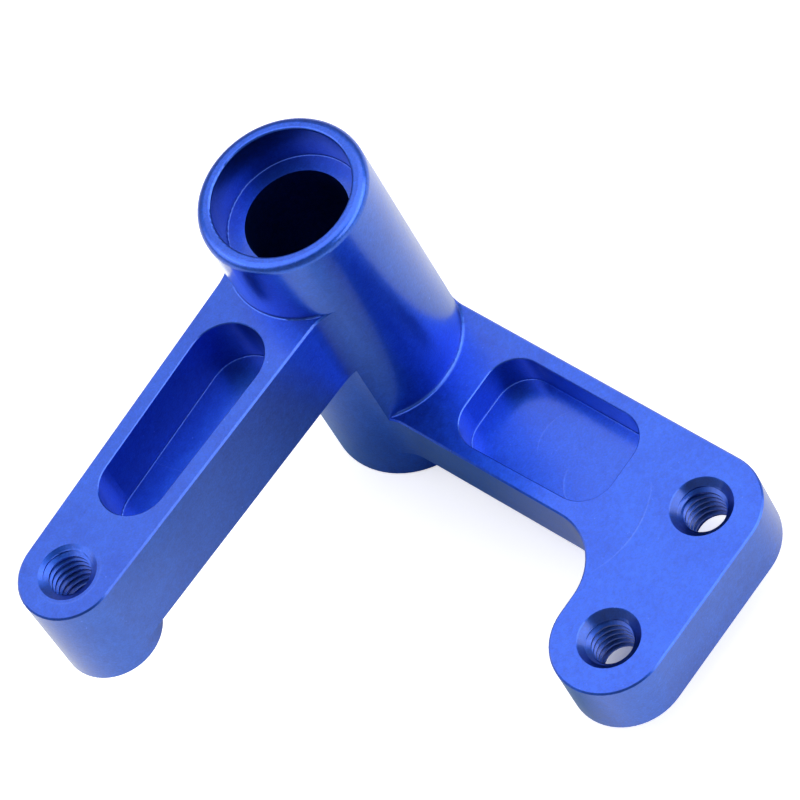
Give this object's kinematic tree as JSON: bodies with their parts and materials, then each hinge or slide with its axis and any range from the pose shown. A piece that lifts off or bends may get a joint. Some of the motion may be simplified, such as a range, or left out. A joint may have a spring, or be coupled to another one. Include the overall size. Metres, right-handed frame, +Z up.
{
  "type": "steering bellcrank",
  "caption": "Machined two-arm steering bellcrank: a hub tube with a bearing seat in each end, a slotted upper arm and a footed lower arm a quarter turn away, with tapped holes.",
  "frame": {"origin": "centre of the hub's lower face, on the hub's axis", "axes": "+Z up the hub's axis towards the end the upper arm is nearer, +X along the upper arm, +Y along the lower arm"},
  "size_m": [0.0311, 0.0321, 0.0231],
  "materials": {
    "anodised_aluminium": "satin"
  },
  "bodies": {
    "root": {"bellcrank": "anodised_aluminium"}
  },
  "joints": []
}
